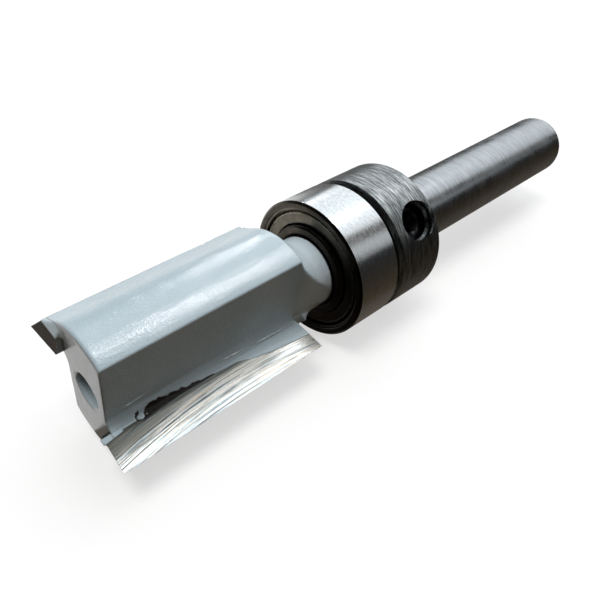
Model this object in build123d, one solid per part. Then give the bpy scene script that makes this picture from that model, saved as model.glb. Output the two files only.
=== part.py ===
from build123d import *
from math import tan, radians
import os

# Two-flute flush-trim router bit with a bearing on its shank and a stop collar.
# Millimetres. The tool's axis is X: the nose points to -X and the shank end to +X.
# Stations are measured along the axis from the blades' cutting tips at the nose.
# Across is Y and up is Z while the pieces are made. The finished tool is then rolled
# to the attitude it lies in, and moved so that its origin is the middle of the grip.

# Driving dimensions: steel body
overall_length = 60.3
shank_diameter = 6.35
shank_chamfer = 0.6
neck_shoulder = 0.075
neck_taper_length = 2.3
neck_taper_hollow = 0.35
body_diameter = 10.92
body_length = 17.9
nose_setback = 0.86
nose_edge = 0.15
centre_hole_diameter = 2.9
centre_hole_depth = 5.2
centre_hole_lead = 0.12
drill_point_angle = 118.0
resting_roll = 8.0

# Driving dimensions: gullets and blades
web_thickness = 4.92
rake_offset = 1.77
gullet_exit_radius = 7.5
cutter_diameter = 12.7
blade_length = 19.05
blade_height = 3.35
blade_thickness = 1.575
blade_back_drop = 1.15
end_relief = 0.215
end_dish = 0.07
braze_film = 0.08
bead_leg = 1.0
bead_waist = 0.5
void_start = 2.9
void_length = 7.3
void_width = 0.75
void_floor = 0.06
seat_run_out = 1.2
wing_corner_across = 3.55
wing_ramp = 0.58

# Driving dimensions: bearing
bearing_station = 22.55
bearing_diameter = 12.7
bearing_width = 4.7625
bearing_slip = 0.01
ball_diameter = 1.5875
ball_count = 11
groove_clearance = 0.03
inner_shoulder_height = 0.975
outer_land_wall = 0.95
ring_bore_chamfer = 0.3
inner_ring_edge = 0.15
outer_ring_edge = 0.2
recess_wall = 0.5
recess_depth = 0.75
recess_lip_wall = 0.63
recess_lip_width = 0.2
recess_lip_lead = 0.06
shield_thickness = 0.2
shield_gap = 0.15
shield_step = 0.14
shield_flange_width = 0.42
shield_step_run = 0.16
seat_clearance = 0.01
snap_wire_diameter = 0.32
snap_wire_opening = 24.0
cage_wall = 0.5
cage_rim = 0.35
cage_prong = 0.5
pocket_clearance = 0.05

# Driving dimensions: washer, collar and set screw
washer_thickness = 0.35
collar_diameter = 12.7
collar_width = 5.5
collar_edge = 0.35
collar_bore_lead = 0.2
collar_slip = 0.02
relief_width = 0.7
relief_depth = 0.2
screw_offset = 0.45
screw_turn = 132.0
screw_diameter = 3.5
screw_clearance = 0.02
screw_length = 1.95
screw_edge = 0.25
screw_hole_lead = 0.2
hex_across_flats = 1.5875
hex_depth = 1.2

# Sizes that follow from those above
shank_radius = shank_diameter / 2
neck_radius = shank_radius + neck_shoulder
body_radius = body_diameter / 2
body_end = nose_setback + body_length
bearing_rear = bearing_station + bearing_width
bearing_middle = bearing_station + bearing_width / 2
collar_front = bearing_rear + washer_thickness
collar_rear = collar_front + collar_width
grip_middle = (collar_rear + overall_length - shank_chamfer) / 2
half_web = web_thickness / 2
tip_height = ((cutter_diameter / 2) ** 2 - rake_offset**2) ** 0.5
blade_foot = tip_height - blade_height
blade_back = rake_offset + blade_thickness
blade_back_height = tip_height - blade_back_drop
seat_foot = blade_foot - braze_film
seat_back = blade_back + braze_film
wing_corner_drop = (body_radius**2 - wing_corner_across**2) ** 0.5
ramp_start = end_relief * blade_thickness
pitch_radius = (shank_diameter + bearing_diameter) / 4
ball_radius = ball_diameter / 2
reach = 3 * cutter_diameter
clear = 1.0

os.makedirs("parts", exist_ok=True)


def write(name, shape):
    rolled = Rot(resting_roll, 0, 0) * shape
    placed = Pos(-grip_middle, 0, 0) * rolled
    export_step(placed, os.path.join("parts", name + ".step"))


def profile(points):
    """A face in the plane of the axis from (station, radius) points."""
    return make_face(Polyline(*points, close=True))


def turned(face):
    return revolve(face, axis=Axis.X)


def bar(points, start, end):
    """A straight bar along the tool from (across, up) points."""
    corners = [(start, across, up) for across, up in points]
    face = make_face(Polyline(*corners, close=True))
    return extrude(face, end - start, dir=(1, 0, 0))


def in_front(station, across, up, fall_across, fall_up):
    """A block over all that is nearer the nose than a slanted plane.

    The plane holds the given point. It falls back from the nose by the two given
    amounts for each millimetre across and each millimetre up.
    """
    slanted = Plane(origin=(station, across, up), z_dir=(-1, fall_across, fall_up))
    return slanted * (Pos(0, 0, reach / 2) * Box(reach, reach, reach))


def opposite(shape):
    """The same piece half a turn round the tool."""
    return Rot(180, 0, 0) * shape


def around(index, shape):
    """A piece moved to one of the even places round the bearing."""
    return Rot(index * 360 / ball_count, 0, 0) * shape


def at_rear(shape):
    """The front piece of the bearing turned over to the bearing's rear side."""
    return mirror(shape, about=Plane(origin=(bearing_middle, 0, 0), z_dir=(1, 0, 0)))


# The plain turned blank: shank with a burr relief under the collar's rear end, seat
# for the bearing, neck, hollow taper and body
def make_blank():
    taper_start = (body_end, body_radius)
    taper_end = (body_end + neck_taper_length, neck_radius)
    run = taper_end[0] - taper_start[0]
    drop = taper_start[1] - taper_end[1]
    slant = (run**2 + drop**2) ** 0.5
    taper_middle = (
        taper_start[0] + run / 2 - neck_taper_hollow * drop / slant,
        taper_end[1] + drop / 2 - neck_taper_hollow * run / slant,
    )
    outline = Polyline(
        taper_end,
        (bearing_station, neck_radius),
        (bearing_station, shank_radius),
        (collar_rear - relief_width, shank_radius),
        (collar_rear - relief_width, shank_radius - relief_depth),
        (collar_rear, shank_radius - relief_depth),
        (collar_rear, shank_radius),
        (overall_length - shank_chamfer, shank_radius),
        (overall_length, shank_radius - shank_chamfer),
        (overall_length, 0),
        (nose_setback, 0),
        (nose_setback, body_radius - nose_edge),
        (nose_setback + nose_edge, body_radius),
        taper_start,
    )
    taper = ThreePointArc(taper_start, taper_middle, taper_end)
    return turned(make_face(outline + taper))


# The steel behind a blade stands out past the body and ramps back from the nose
def make_wing():
    behind_blade = bar(
        [
            (-blade_back_height, -blade_back),
            (-seat_foot, -blade_back),
            (-seat_foot, -wing_corner_drop),
            (-wing_corner_across, -wing_corner_drop),
        ],
        0,
        body_end,
    )
    return behind_blade - ramp


# A gullet is a square corner that runs straight, then curves out through the neck
def make_gullet():
    corner = [
        (-half_web, -rake_offset),
        (-half_web, body_radius + clear),
        (-body_radius - clear, body_radius + clear),
        (-body_radius - clear, -rake_offset),
    ]
    straight = bar(corner, -clear, body_end)
    end_face = make_face(Polyline(*[(body_end, y, z) for y, z in corner], close=True))
    swing = Axis((body_end, -half_web - gullet_exit_radius, 0), (0, 0, -1))
    run_out = revolve(end_face, axis=swing, revolution_arc=60)
    return straight + run_out


# The open seat that holds a blade and its film of braze
def make_seat():
    return bar(
        [
            (-seat_foot, -rake_offset),
            (-cutter_diameter, -rake_offset),
            (-cutter_diameter, -seat_back),
            (-seat_foot, -seat_back),
        ],
        -clear,
        body_end + seat_run_out,
    )


def make_centre_hole():
    radius = centre_hole_diameter / 2
    floor = nose_setback + centre_hole_depth
    point = floor + radius / tan(radians(drill_point_angle / 2))
    return turned(
        profile(
            [
                (nose_setback - clear, 0),
                (nose_setback - clear, radius + centre_hole_lead + clear),
                (nose_setback + centre_hole_lead, radius),
                (floor, radius),
                (point, 0),
            ]
        )
    )


# Cutter body
ramp = in_front(ramp_start, 0, -blade_back, 0, -wing_ramp)
wing = make_wing()
gullet = make_gullet()
seat = make_seat()
cutter_body = make_blank() + wing + opposite(wing)
cutter_body = cutter_body - gullet - opposite(gullet)
cutter_body = cutter_body - seat - opposite(seat)
cutter_body = cutter_body - make_centre_hole()
write("cutter_body", cutter_body)

# Blades: relieved behind the edge, with the end face ground back and slightly dished
blade = bar(
    [
        (-tip_height, -rake_offset),
        (-blade_foot, -rake_offset),
        (-blade_foot, -blade_back),
        (-blade_back_height, -blade_back),
    ],
    0,
    blade_length,
)
blade = blade - in_front(0, -tip_height, -rake_offset, end_dish, -end_relief)
write("carbide_blade_1", blade)
write("carbide_blade_2", opposite(blade))

# Braze: a film behind the blade and under its foot, and a bead in the gullet's corner
back_film = bar(
    [
        (-blade_back_height, -blade_back),
        (-seat_foot, -blade_back),
        (-seat_foot, -seat_back),
        (-blade_back_height, -seat_back),
    ],
    0,
    body_end,
)
foot_film = bar(
    [
        (-blade_foot, -rake_offset),
        (-seat_foot, -rake_offset),
        (-seat_foot, -blade_back),
        (-blade_foot, -blade_back),
    ],
    nose_setback,
    body_end,
)
bead_corner = (nose_setback, -half_web, -rake_offset)
bead_top = (nose_setback, -half_web, -rake_offset + bead_leg)
bead_toe = (nose_setback, -half_web - bead_leg, -rake_offset)
bead_middle = (
    nose_setback,
    -half_web - bead_waist / 2**0.5,
    -rake_offset + bead_waist / 2**0.5,
)
bead_outline = Polyline(bead_toe, bead_corner, bead_top) + ThreePointArc(
    bead_top, bead_middle, bead_toe
)
bead = extrude(make_face(bead_outline), body_length, dir=(1, 0, 0))
braze_seam = (back_film - ramp) + foot_film + bead
write("braze_seam_2", opposite(braze_seam))

# The first bead has a ragged hollow along its toe, where the braze did not fill
void_outline = [
    (0.0, 0.0),
    (0.01, 0.72),
    (0.05, 0.93),
    (0.11, 0.86),
    (0.17, 1.0),
    (0.30, 0.90),
    (0.42, 0.93),
    (0.52, 0.74),
    (0.63, 0.70),
    (0.74, 0.52),
    (0.86, 0.36),
    (1.0, 0.0),
]
void_toe = -half_web - bead_leg
void = extrude(
    make_face(
        Polyline(
            *[
                (void_start + along * void_length, void_toe + inward * void_width, 0)
                for along, inward in void_outline
            ],
            close=True,
        )
    ),
    bead_leg,
    dir=(0, 0, 1),
)
void_opening = Pos(0, 0, -rake_offset + void_floor) * void
write("braze_seam_1", braze_seam - void_opening)

# Bearing rings, each with a groove for the balls
groove = Pos(bearing_middle, pitch_radius) * Circle(ball_radius + groove_clearance)
inner_bore = shank_radius + bearing_slip
inner_shoulder = shank_radius + inner_shoulder_height
ring_face_radius = inner_shoulder - inner_ring_edge
inner_section = profile(
    [
        (bearing_station + ring_bore_chamfer, inner_bore),
        (bearing_rear - ring_bore_chamfer, inner_bore),
        (bearing_rear, inner_bore + ring_bore_chamfer),
        (bearing_rear, ring_face_radius),
        (bearing_rear - inner_ring_edge, inner_shoulder),
        (bearing_station + inner_ring_edge, inner_shoulder),
        (bearing_station, ring_face_radius),
        (bearing_station, inner_bore + ring_bore_chamfer),
    ]
)
write("bearing_inner_ring", turned(inner_section - groove))

outer_radius = bearing_diameter / 2
outer_land = outer_radius - outer_land_wall
recess_radius = outer_radius - recess_wall
lip_radius = outer_radius - recess_lip_wall
front_half = [
    (bearing_middle, outer_land),
    (bearing_station + recess_depth, outer_land),
    (bearing_station + recess_depth, recess_radius),
    (bearing_station + recess_lip_width, recess_radius),
    (bearing_station + recess_lip_width, lip_radius),
    (bearing_station + recess_lip_lead, lip_radius),
    (bearing_station, lip_radius + recess_lip_lead),
    (bearing_station, outer_radius - outer_ring_edge),
    (bearing_station + outer_ring_edge, outer_radius),
    (bearing_middle, outer_radius),
]
rear_half = [(2 * bearing_middle - station, radius) for station, radius in front_half]
outer_section = profile(front_half[:-1] + rear_half[-2:0:-1])
write("bearing_outer_ring", turned(outer_section - groove))

# Shields: pressed discs that sit on the floor of each recess, stepped towards the face
shield_floor = bearing_station + recess_depth - seat_clearance
shield_outer = recess_radius - seat_clearance
shield_bore = inner_shoulder + shield_gap
flange_inner = shield_outer - shield_flange_width
step_inner = flange_inner - shield_step_run
shield_face = shield_floor - shield_thickness
front_shield = turned(
    profile(
        [
            (shield_floor, shield_outer),
            (shield_floor, flange_inner),
            (shield_floor - shield_step, step_inner),
            (shield_floor - shield_step, shield_bore),
            (shield_face - shield_step, shield_bore),
            (shield_face - shield_step, step_inner),
            (shield_face, flange_inner),
            (shield_face, shield_outer),
        ]
    )
)
write("front_shield", front_shield)
write("rear_shield", at_rear(front_shield))

# Snap wires: split rings of round wire that hold the shields down
wire_radius = snap_wire_diameter / 2
wire_station = shield_face - seat_clearance - wire_radius
wire_ring_radius = recess_radius - seat_clearance - wire_radius
wire_section = Pos(wire_station, wire_ring_radius) * Circle(wire_radius)
front_snap_wire = revolve(wire_section, axis=Axis.X, revolution_arc=360 - snap_wire_opening)
write("front_snap_wire", front_snap_wire)
write("rear_snap_wire", at_rear(front_snap_wire))

# Cage: a crown with one pocket for each ball, open on its rear side
pocket_radius = ball_radius + pocket_clearance
cage_front = bearing_middle - pocket_radius - cage_rim
cage_rear = bearing_middle + cage_prong
cage_inner = pitch_radius - cage_wall / 2
cage_outer = pitch_radius + cage_wall / 2
ball_cage = turned(
    profile(
        [
            (cage_front, cage_inner),
            (cage_rear, cage_inner),
            (cage_rear, cage_outer),
            (cage_front, cage_outer),
        ]
    )
)
pocket = Pos(bearing_middle, 0, pitch_radius) * Cylinder(pocket_radius, 4 * cage_wall)
for index in range(ball_count):
    ball_cage = ball_cage - around(index, pocket)
write("ball_cage", ball_cage)

# Balls
ball = Pos(bearing_middle, 0, pitch_radius) * Sphere(ball_radius)
for index in range(ball_count):
    write(f"ball_{index + 1}", around(index, ball))

# Spacer washer: bears on the inner ring's face only
collar_bore = shank_radius + collar_slip
spacer_washer = turned(
    profile(
        [
            (bearing_rear, collar_bore),
            (collar_front, collar_bore),
            (collar_front, ring_face_radius),
            (bearing_rear, ring_face_radius),
        ]
    )
)
write("spacer_washer", spacer_washer)

# Stop collar with its cross hole
collar_radius = collar_diameter / 2
collar_ring = turned(
    profile(
        [
            (collar_front + collar_bore_lead, collar_bore),
            (collar_rear - collar_bore_lead, collar_bore),
            (collar_rear, collar_bore + collar_bore_lead),
            (collar_rear, collar_radius - collar_edge),
            (collar_rear - collar_edge, collar_radius),
            (collar_front + collar_edge, collar_radius),
            (collar_front, collar_radius - collar_edge),
            (collar_front, collar_bore + collar_bore_lead),
        ]
    )
)
screw_radius = screw_diameter / 2
screw_station = (collar_front + collar_rear) / 2 + screw_offset
screw_place = Rot(screw_turn - 90, 0, 0) * Pos(screw_station, 0, 0)
cross_hole = revolve(
    make_face(
        Polyline(
            (0, 0, 0),
            (screw_radius, 0, 0),
            (screw_radius, 0, collar_radius - screw_hole_lead),
            (screw_radius + screw_hole_lead + clear, 0, collar_radius + clear),
            (0, 0, collar_radius + clear),
            close=True,
        )
    ),
    axis=Axis.Z,
)
write("stop_collar", collar_ring - screw_place * cross_hole)

# Set screw: flat point on the shank, hex socket outwards
screw = Cylinder(
    screw_radius - screw_clearance,
    screw_length,
    align=(Align.CENTER, Align.CENTER, Align.MIN),
)
screw = chamfer(screw.edges().filter_by(GeomType.CIRCLE), screw_edge)
hexagon = RegularPolygon(hex_across_flats / 2, 6, major_radius=False)
socket = Pos(0, 0, screw_length - hex_depth) * extrude(hexagon, hex_depth)
set_screw = screw_place * (Pos(0, 0, shank_radius) * (screw - socket))
write("set_screw", set_screw)
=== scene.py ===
import math

import bmesh
import bpy
from mathutils import Matrix, Vector, noise


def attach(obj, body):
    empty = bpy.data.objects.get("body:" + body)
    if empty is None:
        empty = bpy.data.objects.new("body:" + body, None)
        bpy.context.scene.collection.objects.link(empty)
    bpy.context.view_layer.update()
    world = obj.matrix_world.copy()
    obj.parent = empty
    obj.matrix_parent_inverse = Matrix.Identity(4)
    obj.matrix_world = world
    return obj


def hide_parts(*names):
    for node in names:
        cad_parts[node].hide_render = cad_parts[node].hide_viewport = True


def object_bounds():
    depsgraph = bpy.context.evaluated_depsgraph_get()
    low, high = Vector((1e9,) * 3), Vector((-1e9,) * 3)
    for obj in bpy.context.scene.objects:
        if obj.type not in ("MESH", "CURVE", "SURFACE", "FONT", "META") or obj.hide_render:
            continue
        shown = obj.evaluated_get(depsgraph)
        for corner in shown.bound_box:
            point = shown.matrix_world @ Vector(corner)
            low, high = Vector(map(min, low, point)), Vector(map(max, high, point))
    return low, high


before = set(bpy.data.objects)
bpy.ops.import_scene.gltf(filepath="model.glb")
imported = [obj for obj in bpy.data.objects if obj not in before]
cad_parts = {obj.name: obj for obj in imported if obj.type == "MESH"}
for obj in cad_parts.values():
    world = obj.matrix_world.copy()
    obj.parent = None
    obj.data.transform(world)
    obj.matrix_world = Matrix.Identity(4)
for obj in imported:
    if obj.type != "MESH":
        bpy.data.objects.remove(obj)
cad_low, cad_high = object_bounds()
# One fixed start for the noise of the paint, so that each run gives the same drops
noise.seed_set(11)

# The shank is one piece of alloy steel with the cutter. It is turned, hardened and
# then ground to a quarter of an inch, which leaves fine rings round it. Its free end
# has a turned chamfer, and a narrow relief under the collar takes the screw's burr.
MM = 0.001
ORIGIN_STATION = 46.43125
RESTING_ROLL = math.radians(8)
# Pieces are made in millimetres as (station from the nose, across, up), then laid
# in the attitude that the tool rests in.
AT_REST = (
    Matrix.Translation((-ORIGIN_STATION * MM, 0, 0))
    @ Matrix.Rotation(RESTING_ROLL, 4, "X")
    @ Matrix.Scale(MM, 4)
)
# Points closer than this are one, and a point nearer the axis than this is on it.
MERGE_WITHIN = 0.0005
ON_AXIS = 0.001
SHANK_RADIUS = 3.175
NECK_END = 22.54
RELIEF = (32.4625, 33.1625, 2.975)
SHANK_END = 60.3
SHANK_CHAMFER = 0.6


def linear(hex_colour):
    """An sRGB hex colour as linear red, green, blue and alpha."""
    parts = [int(hex_colour[i : i + 2], 16) / 255 for i in (1, 3, 5)]
    return [p / 12.92 if p <= 0.04045 else ((p + 0.055) / 1.055) ** 2.4 for p in parts] + [1.0]


def put(tree, kind, inputs=None, **settings):
    """A new node with its settings, and with each input set or linked."""
    node = tree.nodes.new(kind)
    for name, value in settings.items():
        setattr(node, name, value)
    for socket, value in (inputs or {}).items():
        if isinstance(value, bpy.types.NodeSocket):
            tree.links.new(value, node.inputs[socket])
        else:
            node.inputs[socket].default_value = value
    return node


def blank_nodes(holder):
    """The emptied node tree of a material or world, ready for its own nodes."""
    holder.use_nodes = True
    holder.node_tree.nodes.clear()
    return holder.node_tree


def new_finish(name, **shader_values):
    """A material, its node tree, its shader, and its place on the tool in millimetres."""
    finish = bpy.data.materials.new(name)
    tree = blank_nodes(finish)
    shader = put(tree, "ShaderNodeBsdfPrincipled")
    for socket, value in shader_values.items():
        shader.inputs[socket.replace("_", " ")].default_value = value
    put(tree, "ShaderNodeOutputMaterial", {"Surface": shader.outputs["BSDF"]})
    coordinates = put(tree, "ShaderNodeTexCoord")
    place = put(
        tree,
        "ShaderNodeMapping",
        {
            "Vector": coordinates.outputs["Object"],
            "Scale": (1 / MM, 1 / MM, 1 / MM),
            "Rotation": (-RESTING_ROLL, 0, 0),
            "Location": (ORIGIN_STATION, 0, 0),
        },
        vector_type="POINT",
    )
    return finish, tree, shader, place.outputs["Vector"]


def ramp(tree, factor, stops, interpolation="LINEAR"):
    """The colour output of a ramp with (position, hex colour) stops."""
    node = put(tree, "ShaderNodeValToRGB", {"Fac": factor})
    node.color_ramp.interpolation = interpolation
    while len(node.color_ramp.elements) < len(stops):
        node.color_ramp.elements.new(0.5)
    for element, (position, colour) in zip(node.color_ramp.elements, stops):
        element.position = position
        element.color = linear(colour)
    return node.outputs["Color"]


def grain(tree, vector, scale, detail, **more):
    """The strength, from nought to one, of a noise pattern at each place."""
    inputs = {"Vector": vector, "Scale": scale, "Detail": detail, **more}
    return put(tree, "ShaderNodeTexNoise", inputs).outputs["Fac"]


def stretched(tree, place, scale, **more):
    """The place with its axes scaled, so that a pattern draws out along some of them."""
    inputs = {"Vector": place, "Scale": scale, **more}
    return put(tree, "ShaderNodeMapping", inputs).outputs["Vector"]


def spread(tree, value, low, high, at_low, at_high, **settings):
    """A value between low and high, carried over to the range at_low to at_high."""
    inputs = {"Value": value, 1: low, 2: high, 3: at_low, 4: at_high}
    return put(tree, "ShaderNodeMapRange", inputs, **settings).outputs[0]


def reckon(tree, operation, *values):
    """The result of a sum, product or other operation on values."""
    return put(tree, "ShaderNodeMath", dict(enumerate(values)), operation=operation).outputs[0]


def blended(tree, share, first, second, blend_type="MIX"):
    """The colour that a share of the second makes with the first."""
    inputs = {0: share, 6: first, 7: second}
    mix = put(tree, "ShaderNodeMix", inputs, data_type="RGBA", blend_type=blend_type)
    return mix.outputs[2]


def dress(tree, shader, colour, roughness=None, height=None, depth=0.0):
    """The shader takes a colour, and may take a roughness and a relief in millimetres."""
    tree.links.new(colour, shader.inputs["Base Color"])
    if roughness is not None:
        tree.links.new(roughness, shader.inputs["Roughness"])
    if height is not None:
        relief = {"Height": height, "Strength": 1.0, "Distance": depth * MM}
        bump = put(tree, "ShaderNodeBump", relief)
        tree.links.new(bump.outputs["Normal"], shader.inputs["Normal"])


def sound(bm):
    """The bmesh with its double points merged and its faces turned outwards."""
    bmesh.ops.remove_doubles(bm, verts=bm.verts[:], dist=MERGE_WITHIN)
    bmesh.ops.recalc_face_normals(bm, faces=bm.faces[:])
    return bm


def into_scene(bm, name):
    """The bmesh, used up, as an object of its own name in the scene."""
    mesh = bpy.data.meshes.new(name)
    bm.to_mesh(mesh)
    bm.free()
    made = bpy.data.objects.new(name, mesh)
    bpy.context.scene.collection.objects.link(made)
    return made


def points_of(parts):
    """The points among the parts that a bmesh operation has made."""
    return [part for part in parts if isinstance(part, bmesh.types.BMVert)]


def settle(bm, name, body, finishes, replaced=(), crease=35):
    """The finished bmesh becomes a piece that rides on a body of the frame."""
    sound(bm).transform(AT_REST)
    piece = into_scene(bm, name)
    mesh = piece.data
    for finish in finishes if isinstance(finishes, list) else [finishes]:
        mesh.materials.append(finish)
    mesh.shade_smooth()
    if crease:
        mesh.set_sharp_from_angle(angle=math.radians(crease))
        weighted = piece.modifiers.new("weighted_normals", "WEIGHTED_NORMAL")
        weighted.keep_sharp = True
    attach(piece, body)
    if replaced:
        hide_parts(*replaced)
    return piece


def turned(points, rounding=0.03, steps=192):
    """A shape turned round the tool's axis from (station, radius) points."""
    bm = bmesh.new()
    corners = [bm.verts.new((station, radius, 0)) for station, radius in points]
    bm.faces.new(corners)
    bmesh.ops.bevel(
        bm,
        geom=[v for v in corners if v.co.y > ON_AXIS],
        offset=rounding,
        segments=3,
        profile=0.5,
        affect="VERTICES",
        material=-1,
        clamp_overlap=True,
    )
    bmesh.ops.delete(bm, geom=bm.faces[:], context="FACES_ONLY")
    on_axis = [e for e in bm.edges if all(v.co.y < ON_AXIS for v in e.verts)]
    bmesh.ops.delete(bm, geom=on_axis, context="EDGES")
    bmesh.ops.spin(
        bm,
        geom=bm.verts[:] + bm.edges[:],
        cent=(0, 0, 0),
        axis=(1, 0, 0),
        angle=2 * math.pi,
        steps=steps,
        use_merge=True,
    )
    return bm


# Ground steel: the wheel leaves close rings, which stretch every reflection along the
# shank. Real rings are about 0.02 mm apart, drawn here about 0.12 mm so that they show.
ground_steel, tree, shader, place = new_finish("ground_steel", Metallic=1.0)
round_shank = stretched(tree, place, (1.0, 0.06, 0.06))
rings = grain(tree, round_shank, 1 / 0.12, 3.0, Roughness=0.6)
handling = grain(tree, place, 0.35, 5.0, Roughness=0.65)
cleaner_rings = ramp(tree, rings, [(0.3, "#6a6d70"), (0.7, "#888c8e")])
handled_rings = ramp(tree, rings, [(0.3, "#7d8082"), (0.7, "#9da0a2")])
dress(
    tree,
    shader,
    blended(tree, handling, cleaner_rings, handled_rings),
    spread(tree, handling, 0.3, 0.7, 0.2, 0.36),
    rings,
    depth=0.004,
)

shank = turned(
    [
        (NECK_END, 0),
        (NECK_END, SHANK_RADIUS),
        (RELIEF[0], SHANK_RADIUS),
        (RELIEF[0], RELIEF[2]),
        (RELIEF[1], RELIEF[2]),
        (RELIEF[1], SHANK_RADIUS),
        (SHANK_END - SHANK_CHAMFER, SHANK_RADIUS),
        (SHANK_END, SHANK_RADIUS - SHANK_CHAMFER),
        (SHANK_END, 0),
    ],
    rounding=0.06,
)
settle(shank, "ground_shank", "tool", ground_steel, ["cutter_body"])

# The cutter is the same steel, milled with two gullets and seats, and sprayed with
# pale enamel after the blades are brazed in. The spray covers the body, the neck and
# the beads of braze as one skin, so its corners are soft.
SKIN_VOXEL = 0.11
PEEL_WIDTH = 0.55
PEEL_DEPTH = 0.006
NOSE_FACE = 0.86
BEAD_CREST = -2.6
TOE_WIPED = 0.72
RAKE_FACE = -1.77
END_CLEARANCE = 0.34


def from_frame(*nodes):
    """Copies of frame nodes in one bmesh, merged, in the tool's millimetres."""
    bm = bmesh.new()
    for node in nodes:
        bm.from_mesh(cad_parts[node].data)
    bm.transform(AT_REST.inverted())
    bmesh.ops.remove_doubles(bm, verts=bm.verts[:], dist=0.0002)
    return bm


def baked(bm, modifiers):
    """The bmesh after a list of (kind, settings) modifiers."""
    blank = into_scene(bm, "blank")
    mesh = blank.data
    for kind, settings in modifiers:
        modifier = blank.modifiers.new(kind, kind)
        for name, value in settings.items():
            setattr(modifier, name, value)
    depsgraph = bpy.context.evaluated_depsgraph_get()
    made = bpy.data.meshes.new_from_object(blank.evaluated_get(depsgraph))
    result = bmesh.new()
    result.from_mesh(made)
    bpy.data.objects.remove(blank)
    bpy.data.meshes.remove(mesh)
    bpy.data.meshes.remove(made)
    return result


# Stoved enamel: an even pale blue-grey with the fine dimples of sprayed paint, which
# break the highlight of a lamp into sparkles.
enamel, tree, shader, place = new_finish("stoved_enamel", IOR=1.5)
mottle = grain(tree, place, 0.3, 4.0)
# The neck's enamel is painted paler than the body's, as painted light on the neck.
station_on_skin = put(tree, "ShaderNodeSeparateXYZ", {"Vector": place}).outputs["X"]
paler_neck_share = spread(tree, station_on_skin, 19.0, 20.5, 0.0, 1.0)
body_tone = ramp(tree, mottle, [(0.3, "#a9b9c0"), (0.7, "#b2c1c8")])
neck_painted_light_tone = ramp(tree, mottle, [(0.3, "#cbdae1"), (0.7, "#d3e1e7")])
enamel_tone = blended(tree, paler_neck_share, body_tone, neck_painted_light_tone)
# The nose face is painted darker, as painted shade.
NOSE_DEPTH = 0.06
nose_shade_share = reckon(tree, "COMPARE", station_on_skin, NOSE_FACE, NOSE_DEPTH)
peel = grain(tree, place, 1 / 0.24, 3.0, Roughness=0.7)
dress(
    tree,
    shader,
    blended(tree, nose_shade_share, enamel_tone, linear("#8f9597")),
    spread(tree, mottle, 0.3, 0.7, 0.08, 0.13),
    peel,
    depth=0.034,
)

steel = from_frame("cutter_body")
cut = bmesh.ops.bisect_plane(
    steel,
    geom=steel.verts[:] + steel.edges[:] + steel.faces[:],
    plane_co=(NECK_END, 0, 0),
    plane_no=(1, 0, 0),
    clear_outer=True,
)
rim = [e for e in cut["geom_cut"] if isinstance(e, bmesh.types.BMEdge)]
bmesh.ops.contextual_create(steel, geom=rim)
beads = from_frame("braze_seam_1", "braze_seam_2")
joined = bpy.data.meshes.new("joined")
beads.to_mesh(joined)
beads.free()
steel.from_mesh(joined)
bpy.data.meshes.remove(joined)
skin = baked(
    steel,
    [
        ("REMESH", {"mode": "VOXEL", "voxel_size": SKIN_VOXEL}),
        ("SMOOTH", {"factor": 0.5, "iterations": 4}),
    ],
)
skin.normal_update()
for vert in skin.verts:
    vert.co += vert.normal * PEEL_DEPTH * noise.noise(vert.co / PEEL_WIDTH)
    # The first bead's toe was wiped back from the blade before the paint dried.
    station, across, up = vert.co
    if across < BEAD_CREST and -2.0 < up < -1.0:
        vert.co.y = BEAD_CREST + (across - BEAD_CREST) * TOE_WIPED
    # The nose is flat down to the first blade and ground back below its rake face.
    if station < 0.8 and across < -1.5 and RAKE_FACE - 0.18 < up < -0.5:
        vert.co.x = 0.0
    elif across < -2.4 and up < RAKE_FACE:
        vert.co.x = max(station, END_CLEARANCE * (RAKE_FACE - up))

# Burnt flux: a black glassy crust in the hollow of the first bead, which the paint
# did not reach.
burnt_flux, tree, shader, place = new_finish("burnt_flux", Roughness=0.45)
crust = grain(tree, place, 1 / 0.2, 4.0)
crust_tone = ramp(tree, crust, [(0.35, "#070605"), (0.7, "#231b12")])
dress(tree, shader, crust_tone, height=crust, depth=0.06)
BEAD_TOE = -3.22
HOLLOW_START = 2.9
HOLLOW_LENGTH = 7.3
HOLLOW_EDGE = [
    (0.0, 0.26),
    (0.02, 0.46),
    (0.055, 0.52),
    (0.07, -0.1),
    (0.105, -0.1),
    (0.115, 0.40),
    (0.15, 0.52),
    (0.20, 0.58),
    (0.27, 0.52),
    (0.30, 0.55),
    (0.41, 0.46),
    (0.45, 0.50),
    (0.52, 0.38),
    (0.58, 0.41),
    (0.66, 0.27),
    (0.72, 0.30),
    (0.83, 0.14),
    (0.90, 0.15),
    (1.0, 0.0),
]
HOLLOW_RAGGED = 0.04


def hollow_width(station):
    """How far the hollow reaches in from the bead's toe at a station."""
    share = (station - HOLLOW_START) / HOLLOW_LENGTH
    for (start, near), (end, far) in zip(HOLLOW_EDGE, HOLLOW_EDGE[1:]):
        if start <= share <= end:
            ragged = HOLLOW_RAGGED * noise.noise((station / 0.4, 0, 0))
            return near + (far - near) * (share - start) / (end - start) + ragged
    return -1.0


for face in skin.faces:
    station, across, up = face.calc_center_median()
    in_bead = -1.9 < up < -1.25 and BEAD_TOE - 0.1 < across < -2.4
    if in_bead and across - BEAD_TOE < hollow_width(station):
        face.material_index = 1
settle(
    skin,
    "painted_cutter",
    "tool",
    [enamel, burnt_flux],
    ["cutter_body", "braze_seam_1", "braze_seam_2"],
    crease=None,
)

# Layers on the rake face start this far inside it, so that no gap shows under them.
LAYER_SUNK = 0.08


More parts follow.
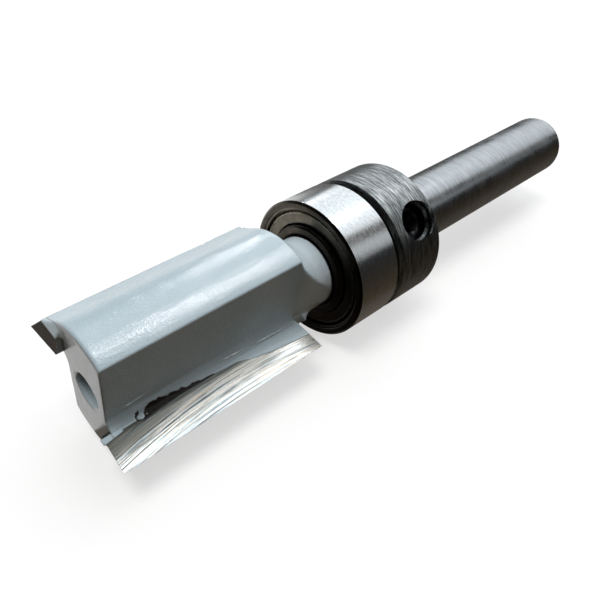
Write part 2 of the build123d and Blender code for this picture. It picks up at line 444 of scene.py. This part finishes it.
def laid(outline, height, edge):
    """A thin layer on the rake face of blade 1 from (station, across) points."""
    bm = bmesh.new()
    bottom = RAKE_FACE - LAYER_SUNK
    face = bm.faces.new([bm.verts.new((s, u, bottom)) for s, u in outline])
    top_verts = points_of(bmesh.ops.extrude_face_region(bm, geom=[face])["geom"])
    bmesh.ops.translate(bm, verts=top_verts, vec=(0, 0, RAKE_FACE + height - bottom))
    rim = [e for e in bm.edges if all(v in top_verts for v in e.verts)]
    bmesh.ops.bevel(
        bm, geom=rim, offset=edge, segments=3, profile=0.5, affect="EDGES", material=-1
    )
    return bm


CRUSTS = [
    [
        (3.60, -3.02),
        (3.74, -2.76),
        (4.4, -2.64),
        (5.3, -2.65),
        (6.3, -2.71),
        (7.4, -2.81),
        (8.4, -2.94),
        (9.3, -3.03),
        (10.1, -3.12),
        (10.0, -3.18),
        (8.9, -3.12),
        (8.1, -3.10),
        (7.3, -3.09),
        (6.5, -3.14),
        (5.7, -3.20),
        (4.9, -3.26),
        (4.1, -3.33),
        (3.4, -3.40),
        (3.55, -3.22),
    ],
    [(2.84, -2.80), (3.02, -2.62), (3.34, -2.56), (3.42, -2.70), (3.22, -2.88), (2.95, -2.93)],
]
for number, outline in enumerate(CRUSTS, 1):
    crust_layer = laid(outline, 0.05, edge=0.015)
    settle(crust_layer, f"flux_crust_{number}", "tool", burnt_flux)

# Spray that reached the blade itself, a drop of paint at the hollow and a raised
# line along the bead
OVERSPRAY = [
    (10.4, -3.18),
    (11.3, -3.26),
    (12.15, -3.30),
    (12.82, -3.50),
    (13.6, -3.80),
    (14.4, -3.96),
    (15.31, -4.15),
    (16.3, -4.27),
    (17.5, -4.42),
    (18.63, -4.54),
    (19.03, -4.60),
    (19.03, -2.72),
    (10.4, -2.72),
]
settle(laid(OVERSPRAY, 0.035, edge=0.03), "blade_overspray", "tool", enamel)
NOSE_OVERSPRAY = [
    (0.02, -3.0),
    (0.02, -3.44),
    (0.14, -3.53),
    (0.34, -3.50),
    (0.8, -3.43),
    (1.25, -3.38),
    (1.7, -3.30),
    (1.7, -3.0),
]
settle(laid(NOSE_OVERSPRAY, 0.04, edge=0.03), "nose_overspray", "tool", enamel)
for name, spot, size in (
    ("paint_drop", (3.3, -3.08, -1.70), (0.30, 0.24, 0.1)),
    ("paint_drop_small", (3.78, -3.14, -1.70), (0.10, 0.05, 0.05)),
):
    drop = bmesh.new()
    bmesh.ops.create_icosphere(drop, subdivisions=4, radius=1.0)
    bmesh.ops.scale(drop, vec=size, verts=drop.verts)
    bmesh.ops.translate(drop, vec=spot, verts=drop.verts)
    for vert in drop.verts:
        vert.co += 0.08 * noise.noise_vector(vert.co / 0.35)
    settle(drop, name, "tool", enamel, crease=None)

# Enamel on the raised lines, chalky and coloured near white as a painted highlight.
ridge_highlight_enamel, tree, shader, place = new_finish("ridge_highlight_enamel", Roughness=0.4)
ridge_highlight_grain = grain(tree, place, 1 / 0.3, 2.0)
dress(tree, shader, ramp(tree, ridge_highlight_grain, [(0.42, "#b7c6cd"), (0.55, "#fbfdfe")]))
RIDGES = [
    ((10.9, -2.73, -1.33), (13.9, -2.845, -1.44), 0.06),
    ((14.5, -2.874, -1.47), (17.9, -3.01, -1.59), 0.08),
    ((2.3, -2.475, -0.35), (4.3, -2.475, -0.22), 0.04),
]
for number, (start, end, radius) in enumerate(RIDGES, 1):
    ridge = bmesh.new()
    span = Vector(end) - Vector(start)
    bmesh.ops.create_cone(
        ridge, cap_ends=True, segments=10, radius1=radius, radius2=radius * 0.5, depth=span.length
    )
    lengthwise = [e for e in ridge.edges if abs(e.verts[0].co.z - e.verts[1].co.z) > 0.1]
    bmesh.ops.subdivide_edges(ridge, edges=lengthwise, cuts=40, use_grid_fill=True)
    for vert in ridge.verts:
        taper = math.sin(math.pi * min(max(vert.co.z / span.length + 0.5, 0.02), 0.98))
        vert.co.x *= taper
        vert.co.y *= taper
    turn = span.to_track_quat("Z", "Y").to_matrix().to_4x4()
    ridge.transform(Matrix.Translation((Vector(start) + Vector(end)) / 2) @ turn)
    for vert in ridge.verts:
        vert.co += 0.03 * noise.noise_vector(vert.co / 0.4)
    settle(ridge, f"paint_ridge_{number}", "tool", ridge_highlight_enamel, crease=None)

# Two blades of sintered tungsten carbide, brazed in their seats and ground by a large
# wheel. The wheel sweeps in arcs across the rake face, and each arc is a bright
# scratch. Their end faces are coloured near black, as a painted dark reflection.
WHEEL_CENTRE = (11.5, -63.75)
WHEEL_REACH = 60.0
RAKE_FALL = 0.04
BLADE_EDGE = 0.02
carbide, tree, shader, place = new_finish("ground_carbide", Metallic=1.0)
axes = put(tree, "ShaderNodeSeparateXYZ", {"Vector": place})
# Blade 2 is blade 1 turned half round, so its arcs are found with its own across.
out_from_axis = reckon(tree, "ABSOLUTE", axes.outputs["Y"])
along = reckon(tree, "SUBTRACT", axes.outputs["X"], WHEEL_CENTRE[0])
below = reckon(tree, "SUBTRACT", -WHEEL_CENTRE[1], out_from_axis)
swept = put(tree, "ShaderNodeCombineXYZ", {"X": along, "Y": below})
arc_radius = put(
    tree, "ShaderNodeVectorMath", {0: swept.outputs[0]}, operation="LENGTH"
).outputs["Value"]
arc = put(tree, "ShaderNodeCombineXYZ", {"X": arc_radius, "Y": along, "Z": axes.outputs["Z"]})
on_arc = stretched(tree, arc.outputs[0], (1.0, 0.016, 0.6))
scratches = grain(tree, on_arc, 1 / 0.13, 4.0, Roughness=0.75)
tints = put(
    tree,
    "ShaderNodeTexNoise",
    {"Vector": on_arc, "Scale": 1 / 0.1, "Detail": 3.0, "W": 3.0},
    noise_dimensions="4D",
).outputs["Fac"]
scratch_tone = ramp(
    tree,
    scratches,
    [(0.36, "#30363a"), (0.42, "#8a9194"), (0.48, "#d9dcd9"), (0.53, "#ffffff")],
)
tint = ramp(
    tree,
    tints,
    [(0.36, "#d3e4ea"), (0.45, "#ffffff"), (0.54, "#fff8ee"), (0.64, "#fbe9d6")],
)
ground_tone = blended(tree, 1.0, scratch_tone, tint, "MULTIPLY")
# Near the cutting edge a finer wheel has left a greyer, closer grain, in patches.
hone_patches = grain(tree, on_arc, 1 / 0.9, 2.0)
hone_reach = spread(tree, arc_radius, 59.3, 58.2, 0.0, 1.25)
honed = reckon(tree, "MULTIPLY", hone_patches, hone_reach)
honed_tone = blended(tree, honed, ground_tone, linear("#4c555a"))
# The wheel has not reached the strip by the bead, which stays dull.
unreached = spread(tree, arc_radius, WHEEL_REACH - 0.1, WHEEL_REACH + 0.15, 0.0, 0.6)
dress(
    tree,
    shader,
    blended(tree, unreached, honed_tone, linear("#69726f")),
    spread(tree, scratches, 0.35, 0.65, 0.24, 0.14),
    scratches,
    depth=0.006,
)

# Blade ends: near black as a painted dark reflection, with a fine grit that scatters the light.
painted_dark_end, tree, shader, place = new_finish("painted_dark_end", Metallic=1.0, Roughness=0.5)
grit = grain(tree, place, 1 / 0.15, 3.0)
dress(tree, shader, ramp(tree, grit, [(0.3, "#211a14"), (0.7, "#352b22")]))

for number in (1, 2):
    blade = from_frame(f"carbide_blade_{number}")
    # The end is ground back below the rake face, to clear the bottom of a plunged cut.
    facing = 1 if number == 1 else -1
    for vert in blade.verts:
        if vert.co.x < 0.5:
            vert.co.x += END_CLEARANCE * max(0.0, RAKE_FACE - facing * vert.co.z)
        # The rake face falls away a little towards its cutting edge.
        if abs(facing * vert.co.z - RAKE_FACE) < 0.05:
            vert.co.z -= facing * RAKE_FALL * max(0.0, abs(vert.co.y) - 3.2)
    bmesh.ops.dissolve_limit(
        blade, angle_limit=math.radians(1), verts=blade.verts[:], edges=blade.edges[:]
    )
    bmesh.ops.bevel(
        blade,
        geom=blade.edges[:],
        offset=BLADE_EDGE,
        segments=2,
        profile=0.5,
        affect="EDGES",
        material=-1,
    )
    blade.normal_update()
    for face in blade.faces:
        inward = -face.normal.y * math.copysign(1, face.calc_center_median().y)
        # End faces take the near black of a painted dark reflection.
        if face.normal.x < -0.7:
            face.material_index = 1
        elif inward > 0.7:
            face.material_index = 2
    settle(
        blade,
        f"ground_blade_{number}",
        "tool",
        [carbide, painted_dark_end, enamel],
        [f"carbide_blade_{number}"],
    )

# The bearing is a standard shielded ball bearing of hardened chrome steel, slid on the
# shank against the neck. Its rings are ground all over. Pressed steel shields close
# it, each held in its recess by a split spring wire.
BEARING_FRONT = 22.55
BEARING_REAR = 27.3125
BEARING_MIDDLE = (BEARING_FRONT + BEARING_REAR) / 2
PITCH_RADIUS = 4.7625
RACE_RADIUS = 0.82375
INNER_SHOULDER = 4.15
OUTER_LAND = 5.4
INNER_BORE = 3.185
INNER_EDGE = 0.15
BORE_CHAMFER = 0.3
RECESS_RADIUS = 5.85
RECESS_DEPTH = 0.75
LIP_RADIUS = 5.72
LIP_WIDTH = 0.2
BEARING_RADIUS = 6.35
OUTER_EDGE = 0.2


def race(shoulder):
    """(station, radius) points of a ball groove in a shoulder, from front to rear."""
    rise = shoulder - PITCH_RADIUS
    half_width = math.sqrt(RACE_RADIUS**2 - rise**2)
    start = math.atan2(rise, -half_width)
    end = math.atan2(rise, half_width)
    turns = [start + (end - start) * i / 12 for i in range(13)]
    return [
        (BEARING_MIDDLE + RACE_RADIUS * math.cos(a), PITCH_RADIUS + RACE_RADIUS * math.sin(a))
        for a in turns
    ]


def both_ends(front_half):
    """The profile of a ring that is the same at its front and its rear."""
    return [(BEARING_FRONT + BEARING_REAR - s, r) for s, r in reversed(front_half)]


# Ground bearing steel: brighter and finer than the shank, with a faint speckle.
bearing_steel, tree, shader, place = new_finish("ground_bearing_steel", Metallic=1.0)
fine_rings = grain(
    tree, stretched(tree, place, (1.0, 0.25, 0.25)), 1 / 0.1, 3.0, Roughness=0.7
)
dress(
    tree,
    shader,
    ramp(tree, fine_rings, [(0.3, "#9a9d9e"), (0.7, "#b6b9ba")]),
    spread(tree, fine_rings, 0.3, 0.7, 0.16, 0.26),
    fine_rings,
    depth=0.003,
)
# Painted shade fades from dark at the bottom and at negative across to none at the top, over
# about the width of the bearing.
SHADE_REACH = 7.0


def painted_low_shade(tree, place, clean):
    """A colour darkened by painted shade towards the bottom and towards negative across."""
    axes = put(tree, "ShaderNodeSeparateXYZ", {"Vector": place})
    lift = reckon(tree, "ADD", axes.outputs["Y"], axes.outputs["Z"])
    lit_share = spread(tree, lift, -SHADE_REACH, SHADE_REACH, 0.0, 1.0)
    shade_ramp = ramp(
        tree,
        lit_share,
        [(0.0, "#4c4a48"), (0.5, "#6e6c6a"), (0.75, "#a4a29e"), (1.0, "#dddbd6")],
    )
    return blended(tree, 1.0, clean, shade_ramp, "MULTIPLY")


# The rings' end faces are browned by old oil and dust, and painted shade darkens them towards the
# bottom.
oiled_and_shaded_face, tree, shader, place = new_finish("oiled_and_shaded_ring_face", Metallic=1.0, Roughness=0.3)
old_oil = grain(tree, place, 1.1, 5.0)
face_tone = ramp(tree, old_oil, [(0.3, "#433f39"), (0.7, "#625d55")])
dress(tree, shader, painted_low_shade(tree, place, face_tone))


def oil_and_shade_end_faces(bm):
    """The second finish on all that faces along the axis."""
    bm.normal_update()
    for face in bm.faces:
        if abs(face.normal.x) > 0.5:
            face.material_index = 1
    return bm


inner_front = [
    (BEARING_FRONT + INNER_EDGE, INNER_SHOULDER),
    (BEARING_FRONT, INNER_SHOULDER - INNER_EDGE),
    (BEARING_FRONT, INNER_BORE + BORE_CHAMFER),
    (BEARING_FRONT + BORE_CHAMFER, INNER_BORE),
]
inner_ring = turned(
    inner_front + both_ends(inner_front) + list(reversed(race(INNER_SHOULDER))), rounding=0.02
)
settle(
    oil_and_shade_end_faces(inner_ring),
    "inner_ring",
    "tool",
    [bearing_steel, oiled_and_shaded_face],
    ["bearing_inner_ring"],
)

outer_front = [
    (BEARING_FRONT + RECESS_DEPTH, OUTER_LAND),
    (BEARING_FRONT + RECESS_DEPTH, RECESS_RADIUS),
    (BEARING_FRONT + LIP_WIDTH, RECESS_RADIUS),
    (BEARING_FRONT + LIP_WIDTH, LIP_RADIUS),
    (BEARING_FRONT + 0.06, LIP_RADIUS),
    (BEARING_FRONT, LIP_RADIUS + 0.06),
    (BEARING_FRONT, BEARING_RADIUS - OUTER_EDGE),
    (BEARING_FRONT + OUTER_EDGE, BEARING_RADIUS),
]
outer_ring = turned(
    outer_front + both_ends(outer_front) + list(reversed(race(OUTER_LAND))), rounding=0.02
)
settle(
    oil_and_shade_end_faces(outer_ring),
    "outer_ring_ground",
    "outer_ring",
    [bearing_steel, oiled_and_shaded_face],
    ["bearing_outer_ring"],
)

# Pressed shield steel: satin and a little brown with old oil, and darkened towards the bottom by
# painted shade.
shield_steel, tree, shader, place = new_finish(
    "pressed_shield_steel", Metallic=1.0, Roughness=0.27
)
oil = grain(tree, place, 0.8, 4.0)
shield_tone = ramp(tree, oil, [(0.3, "#5d5850"), (0.7, "#858075")])
dress(tree, shader, painted_low_shade(tree, place, shield_tone))
SHIELD_FLOOR = BEARING_FRONT + 0.74
SHIELD_RADIUS = 5.84
SHIELD_HOLE = 4.3
SHIELD_THICKNESS = 0.2
SHIELD_STEP = 0.14
shield_front = [
    (SHIELD_FLOOR, SHIELD_RADIUS),
    (SHIELD_FLOOR, 5.42),
    (SHIELD_FLOOR - SHIELD_STEP, 5.26),
    (SHIELD_FLOOR - SHIELD_STEP, SHIELD_HOLE),
    (SHIELD_FLOOR - SHIELD_STEP - SHIELD_THICKNESS, SHIELD_HOLE),
    (SHIELD_FLOOR - SHIELD_STEP - SHIELD_THICKNESS, 5.26),
    (SHIELD_FLOOR - SHIELD_THICKNESS, 5.42),
    (SHIELD_FLOOR - SHIELD_THICKNESS, SHIELD_RADIUS),
]
for side, points in (("front", shield_front), ("rear", both_ends(shield_front))):
    settle(
        turned(points, rounding=0.02),
        f"{side}_pressed_shield",
        "outer_ring",
        shield_steel,
        [f"{side}_shield"],
    )
    settle(
        from_frame(f"{side}_snap_wire"),
        f"{side}_spring_wire",
        "outer_ring",
        shield_steel,
        [f"{side}_snap_wire"],
    )

# Each shield's step was sheared in the press, and its burr is a ragged line of bright
# torn steel. Painted shade darkens it towards the bottom.
BURR_RADIUS = 5.2
BURR_RAGGED = 0.05
burr_steel, tree, shader, place = new_finish("sheared_steel", Metallic=1.0, Roughness=0.3)
torn = grain(tree, place, 3.0, 4.0)
burr_tone = ramp(tree, torn, [(0.4, "#77736b"), (0.6, "#a5a299")])
dress(tree, shader, painted_low_shade(tree, place, burr_tone))
burr_front = [
    (SHIELD_FLOOR - 0.30, 5.10),
    (SHIELD_FLOOR - 0.39, 5.15),
    (SHIELD_FLOOR - 0.39, 5.24),
    (SHIELD_FLOOR - 0.30, 5.30),
]
for side, points in (("front", burr_front), ("rear", both_ends(burr_front))):
    burr = turned(points, rounding=0.02, steps=360)
    for vert in burr.verts:
        across, up = vert.co.y, vert.co.z
        tear = noise.noise((across / 0.35, up / 0.35, vert.co.x / 0.2))
        ragged = 1 + BURR_RAGGED / BURR_RADIUS * tear
        vert.co.y, vert.co.z = across * ragged, up * ragged
    settle(burr, f"{side}_shield_burr", "outer_ring", burr_steel)

# Balls and their pressed cage stay as the frame has them, behind the shields.
ball_steel, tree, shader, place = new_finish(
    "polished_ball_steel", Metallic=1.0, Roughness=0.08
)
thin_oil = grain(tree, place, 1.2, 2.0)
dress(tree, shader, ramp(tree, thin_oil, [(0.3, "#c8c8c6"), (0.7, "#d4d4d2")]))
for name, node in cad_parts.items():
    if name.startswith("ball_"):
        node.data.materials.clear()
        node.data.materials.append(shield_steel if name == "ball_cage" else ball_steel)

# A thin dark washer bears on the inner ring only, so that the collar clears the outer
# ring as it turns. It is stamped from rolled strip and blackened.
washer_steel, tree, shader, place = new_finish("blackened_strip", Metallic=1.0, Roughness=0.45)
mill_scale = grain(tree, place, 2.5, 4.0)
dress(tree, shader, ramp(tree, mill_scale, [(0.3, "#26262a"), (0.7, "#3c3b3d")]))
COLLAR_FRONT = 27.6625
WASHER_BORE = 3.195
WASHER_RADIUS = 4.0
washer = turned(
    [
        (BEARING_REAR, WASHER_BORE),
        (BEARING_REAR, WASHER_RADIUS),
        (COLLAR_FRONT, WASHER_RADIUS),
        (COLLAR_FRONT, WASHER_BORE),
    ]
)
settle(washer, "dark_washer", "tool", washer_steel, ["spacer_washer"])

# The stop collar is turned from bar, with a tapped cross hole for one set screw. The
# tool left rough rings on it, and handling has scratched it across them.
COLLAR_REAR = 33.1625
COLLAR_RADIUS = 6.35
COLLAR_EDGE = 0.35
COLLAR_BORE = 3.195
COLLAR_LEAD = 0.2
HOLE_STATION = 30.8625
HOLE_RADIUS = 1.75
HOLE_TURN = math.radians(42)
THREAD_PITCH = 0.794
THREAD_DEPTH = 0.17
THREAD_START = 4.6

collar_steel, tree, shader, place = new_finish("turned_collar_steel", Metallic=1.0)
turning = stretched(tree, place, (1.0, 0.06, 0.06), Rotation=(0, 0, math.radians(4)))
tool_marks = grain(tree, turning, 1 / 0.1, 4.0, Roughness=0.8)
dress(
    tree,
    shader,
    ramp(tree, tool_marks, [(0.38, "#34373a"), (0.48, "#585b5c"), (0.60, "#949796")]),
    spread(tree, tool_marks, 0.35, 0.65, 0.42, 0.3),
    tool_marks,
    depth=0.006,
)

IN_HOLE = (
    Matrix.Rotation(HOLE_TURN, 4, "X")
    @ Matrix.Translation((HOLE_STATION, 0, 0))
    @ Matrix.Rotation(math.radians(-90), 4, "Y")
)
drill = turned(
    [
        (0, 0),
        (0, HOLE_RADIUS),
        (COLLAR_RADIUS - 0.2, HOLE_RADIUS),
        (COLLAR_RADIUS + 1, HOLE_RADIUS + 1.2),
        (COLLAR_RADIUS + 1, 0),
    ],
    rounding=0.001,
    steps=96,
)
sound(drill).transform(IN_HOLE)
drill = into_scene(drill, "drill")
collar = turned(
    [
        (COLLAR_FRONT, COLLAR_BORE + COLLAR_LEAD),
        (COLLAR_FRONT, COLLAR_RADIUS - COLLAR_EDGE),
        (COLLAR_FRONT + COLLAR_EDGE, COLLAR_RADIUS),
        (COLLAR_REAR - COLLAR_EDGE, COLLAR_RADIUS),
        (COLLAR_REAR, COLLAR_RADIUS - COLLAR_EDGE),
        (COLLAR_REAR, COLLAR_BORE + COLLAR_LEAD),
        (COLLAR_REAR - COLLAR_LEAD, COLLAR_BORE),
        (COLLAR_FRONT + COLLAR_LEAD, COLLAR_BORE),
    ],
    rounding=0.05,
    steps=256,
)
collar = baked(
    sound(collar),
    [("BOOLEAN", {"operation": "DIFFERENCE", "solver": "EXACT", "object": drill})],
)
drill_mesh = drill.data
bpy.data.objects.remove(drill)
bpy.data.meshes.remove(drill_mesh)
settle(collar, "turned_collar", "tool", collar_steel, ["stop_collar"])

# The screw thread in the hole, of which the last turn shows
thread = bmesh.new()
tooth = [
    (THREAD_START, HOLE_RADIUS + 0.02),
    (THREAD_START + THREAD_PITCH * 0.5, HOLE_RADIUS - THREAD_DEPTH),
    (THREAD_START + THREAD_PITCH * 0.8, HOLE_RADIUS + 0.02),
]
thread.faces.new([thread.verts.new((x, r, 0)) for x, r in tooth])
THREAD_STEPS = 64
bmesh.ops.spin(
    thread,
    geom=thread.verts[:] + thread.edges[:] + thread.faces[:],
    cent=(0, 0, 0),
    axis=(1, 0, 0),
    dvec=(THREAD_PITCH / THREAD_STEPS, 0, 0),
    angle=2 * math.pi,
    steps=THREAD_STEPS,
)
thread.transform(IN_HOLE)
settle(thread, "collar_thread", "tool", collar_steel, crease=50)

# The set screw is a short socket screw of alloy steel, blackened in hot oxide. It
# sits deep in the collar's hole with its flat point on the shank.
black_oxide, tree, shader, place = new_finish("black_oxide", Metallic=1.0, Roughness=0.4)
oxide = grain(tree, place, 4.0, 3.0)
dress(tree, shader, ramp(tree, oxide, [(0.3, "#17171a"), (0.7, "#29292c")]))
screw = from_frame("set_screw")
settle(screw, "socket_screw", "tool", black_oxide, ["set_screw"])

# Studio: a pale paper floor that the tool lies on, cards that only the metal sees, a sky
# with a soft window in it, a lamp overhead and two tube lamps.
FLOOR_HEIGHT = cad_low.z
PAPER_SWEEP = [
    (0, 0),
    (0.45, 0),
    (0.6, 0.01),
    (0.75, 0.04),
    (0.9, 0.09),
    (1.05, 0.16),
    (1.2, 0.25),
]
floor_bm = bmesh.new()
sweep_line = [floor_bm.verts.new((reach, 0, rise)) for reach, rise in PAPER_SWEEP]
for inner, outer in zip(sweep_line, sweep_line[1:]):
    floor_bm.edges.new((inner, outer))
bmesh.ops.spin(
    floor_bm,
    geom=floor_bm.verts[:] + floor_bm.edges[:],
    cent=(0, 0, 0),
    axis=(0, 0, 1),
    angle=2 * math.pi,
    steps=96,
    use_merge=True,
)
bmesh.ops.remove_doubles(floor_bm, verts=floor_bm.verts[:], dist=0.0001)
bmesh.ops.recalc_face_normals(floor_bm, faces=floor_bm.faces[:])
floor = into_scene(floor_bm, "floor")
floor.data.shade_smooth()
floor.location = (0, 0, FLOOR_HEIGHT)

PAPER_GLOW = 0.62
# Matt paper: white to the eye and in reflections. Its bounce on the object is kept low.
paper = bpy.data.materials.new("matt_paper")
tree = blank_nodes(paper)
rays = put(tree, "ShaderNodeLightPath")
seen = reckon(tree, "MAXIMUM", rays.outputs["Is Camera Ray"], rays.outputs["Is Glossy Ray"])
seen = reckon(tree, "MAXIMUM", seen, rays.outputs["Is Transmission Ray"])
paper_colour = blended(tree, seen, linear("#605346"), linear("#fcfbf9"))
paper_shader = put(tree, "ShaderNodeBsdfDiffuse", {"Color": paper_colour})
paper_glow = put(tree, "ShaderNodeEmission", {"Color": linear("#ffffff"), "Strength": 1.0})
paper_mix = put(
    tree,
    "ShaderNodeMixShader",
    {
        0: reckon(tree, "MULTIPLY", seen, PAPER_GLOW),
        1: paper_shader.outputs[0],
        2: paper_glow.outputs[0],
    },
)
put(tree, "ShaderNodeOutputMaterial", {"Surface": paper_mix.outputs[0]})
floor.data.materials.append(paper)


def card_stock(name, tone_in):
    """A card's material, of the one tone that tone_in gives for its node tree."""
    stock = bpy.data.materials.new(name)
    tree = blank_nodes(stock)
    face = put(tree, "ShaderNodeEmission", {"Color": tone_in(tree), "Strength": 1.0})
    put(tree, "ShaderNodeOutputMaterial", {"Surface": face.outputs[0]})
    return stock


def stand_card(bm, name, stock):
    """A card of the studio, which shows only in what the metal reflects."""
    card = into_scene(bm, name)
    card.visible_camera = False
    card.visible_diffuse = False
    card.visible_shadow = False
    card.data.materials.append(stock)


# A photographer flags polished metal with a brown card, folded to stand on the
# viewer's side and lie under the tool. It shows in the metal as the dark band between
# the window and the paper.
FLAG_NEAR = -0.0085
FLAG_FAR = 0.0015
FLAG_FOOT = -0.0063
FLAG_TOP = 0.0045
FLAG_ENDS = (-0.055, 0.055)
CARD_HEIGHT = FLOOR_HEIGHT + 0.0001
FLAG_FOLD = [(FLAG_NEAR, FLAG_TOP), (FLAG_NEAR, CARD_HEIGHT), (FLAG_FAR, CARD_HEIGHT)]


def brown_shades(tree):
    """Brown that turns grey towards the card's top, by height in metres."""
    card_place = put(tree, "ShaderNodeTexCoord")
    card_axes = put(tree, "ShaderNodeSeparateXYZ", {"Vector": card_place.outputs["Object"]})
    card_height = spread(tree, card_axes.outputs["Z"], FLAG_FOOT, FLAG_TOP, 0.0, 1.0)
    return ramp(
        tree,
        card_height,
        [(0.0, "#6a6259"), (0.4, "#554a3c"), (0.7, "#423c35"), (1.0, "#33363a")],
    )


flag_bm = bmesh.new()
fold_line = [flag_bm.verts.new((FLAG_ENDS[0], across, up)) for across, up in FLAG_FOLD]
fold_edges = [flag_bm.edges.new(pair) for pair in zip(fold_line, fold_line[1:])]
drawn_out = bmesh.ops.extrude_edge_only(flag_bm, edges=fold_edges)["geom"]
bmesh.ops.translate(
    flag_bm, verts=points_of(drawn_out), vec=(FLAG_ENDS[1] - FLAG_ENDS[0], 0, 0)
)
stand_card(flag_bm, "flag", card_stock("brown_card", brown_shades))

# A second card lies behind the bearing and the shank and is folded up at its far side.
# It darkens the upper rims of the round metal.
BACK_CARD_NEAR = ((-0.022, 0.003), (0.02, 0.002))
BACK_CARD_FAR = ((0.174, 0.0416), (0.1045, 0.155))
BACK_CARD_TOP = 0.046
back_bm = bmesh.new()
near = [back_bm.verts.new((*spot, CARD_HEIGHT)) for spot in BACK_CARD_NEAR]
fold = [back_bm.verts.new((*spot, CARD_HEIGHT)) for spot in BACK_CARD_FAR]
top = [back_bm.verts.new((*spot, BACK_CARD_TOP)) for spot in BACK_CARD_FAR]
back_bm.faces.new(near + fold)
back_bm.faces.new(fold + top[::-1])
stand_card(back_bm, "back_card", card_stock("grey_card", lambda tree: linear("#62605d")))

# The sky gives a faint glow overhead, and daylight through a soft window high beyond the
# shank's end and a narrow pane beside it.
WINDOW_STRENGTH = 1.85
PANE_SHARE = 0.6
world = bpy.data.worlds.new("soft_sky")
bpy.context.scene.world = world
tree = blank_nodes(world)
sky_direction = put(tree, "ShaderNodeTexCoord")
sky_axes = put(tree, "ShaderNodeSeparateXYZ", {"Vector": sky_direction.outputs["Generated"]})
eastward, northward, upward = (sky_axes.outputs[axis] for axis in "XYZ")


def between_sides(sides):
    """The product of soft steps, each from nought or dim outside to full inside."""
    product = None
    for value, outside, inside, dim, full in sides:
        step = spread(
            tree, value, outside, inside, dim, full, interpolation_type="SMOOTHSTEP"
        )
        product = step if product is None else reckon(tree, "MULTIPLY", product, step)
    return product


glow = between_sides(
    [
        (upward, 0.15, 0.8, 0.05, 0.38),
        (northward, -0.65, 0.1, 0.6, 1.0),
        (eastward, -0.6, 0.25, 0.0, 1.0),
    ]
)
window_height = reckon(tree, "ARCTAN2", upward, eastward)
SILL = (window_height, 0.27, 0.36, 0.0, 1.0)
LINTEL = (window_height, 1.5, 1.3, 0.0, 1.0)
window = between_sides(
    [SILL, LINTEL, (northward, -0.37, -0.31, 0.0, 1.0), (northward, 0.74, 0.67, 0.0, 1.0)]
)
pane = between_sides(
    [SILL, LINTEL, (northward, -0.72, -0.65, 0.0, 1.0), (northward, -0.49, -0.55, 0.0, 1.0)]
)
panes = reckon(tree, "MULTIPLY_ADD", pane, PANE_SHARE, window)
daylight = reckon(tree, "MULTIPLY", panes, WINDOW_STRENGTH)
warm_side = spread(tree, northward, -0.9, 0.0, 0.0, 1.0)
room_tone = ramp(tree, warm_side, [(0.0, "#d8b690"), (1.0, "#f6fbff")])
room = put(tree, "ShaderNodeBackground", {"Color": room_tone, "Strength": glow})
outside = put(
    tree, "ShaderNodeBackground", {"Color": linear("#f6fbff"), "Strength": daylight}
)
both = put(tree, "ShaderNodeAddShader", {0: room.outputs[0], 1: outside.outputs[0]})
# Seen past the paper, the studio is the same white.
beyond = put(tree, "ShaderNodeBackground", {"Color": linear("#ffffff"), "Strength": 1.0})
eye_rays = put(tree, "ShaderNodeLightPath")
seen_sky = put(
    tree,
    "ShaderNodeMixShader",
    {0: eye_rays.outputs["Is Camera Ray"], 1: both.outputs[0], 2: beyond.outputs[0]},
)
put(tree, "ShaderNodeOutputWorld", {"Surface": seen_sky.outputs[0]})

# A broad lamp overhead, which lights the surfaces but shows in no reflection
overhead_lamp = bpy.data.lights.new("overhead", "SUN")
overhead_lamp.energy = 1.8
overhead_lamp.angle = math.radians(25)
overhead = bpy.data.objects.new("overhead", overhead_lamp)
overhead.rotation_euler = Vector((-0.2, 0.02, 0.98)).to_track_quat("Z", "Y").to_euler()
overhead.visible_glossy = False
bpy.context.scene.collection.objects.link(overhead)

# Two tube lamps, whose reflections are the broken bright lines along the enamel
TUBE_WIDTH = 0.004
TUBES = [
    ("long_tube", (0.05, 0.004, 0.42), (0.30, 0.004, 0.42), 1.0),
    ("short_tube", (0.185, 0.382, 0.235), (0.273, 0.326, 0.227), 0.24),
]
for name, start, end, watts in TUBES:
    tube_lamp = bpy.data.lights.new(name, "AREA")
    tube_lamp.shape = "RECTANGLE"
    span = Vector(end) - Vector(start)
    middle = (Vector(start) + Vector(end)) / 2
    tube_lamp.size = span.length
    tube_lamp.size_y = TUBE_WIDTH
    tube_lamp.energy = watts
    tube = bpy.data.objects.new(name, tube_lamp)
    sideways = middle.cross(span).normalized()
    facing = span.cross(sideways).normalized()
    turn = Matrix((span.normalized(), sideways, facing)).transposed().to_4x4()
    tube.matrix_world = Matrix.Translation(middle) @ turn
    tube.visible_diffuse = False
    bpy.context.scene.collection.objects.link(tube)

# The photographer's camera, close to the nose and above it, found by fitting it to the
# edges of the tool. The crop of the picture is in its shift.
camera_data = bpy.data.cameras.new("camera")
camera_data.sensor_width = 36
camera_data.lens = 35.704
camera_data.shift_x = 0.12015
camera_data.shift_y = 0.03323
camera_data.clip_start = 0.001
camera = bpy.data.objects.new("camera", camera_data)
camera.location = (-0.05475, -0.027925, 0.031232)
camera.rotation_euler = [math.radians(a) for a in (48.6119, 1.2403, -38.9734)]
bpy.context.scene.collection.objects.link(camera)
bpy.context.scene.camera = camera
bpy.context.scene.view_settings.view_transform = "Standard"
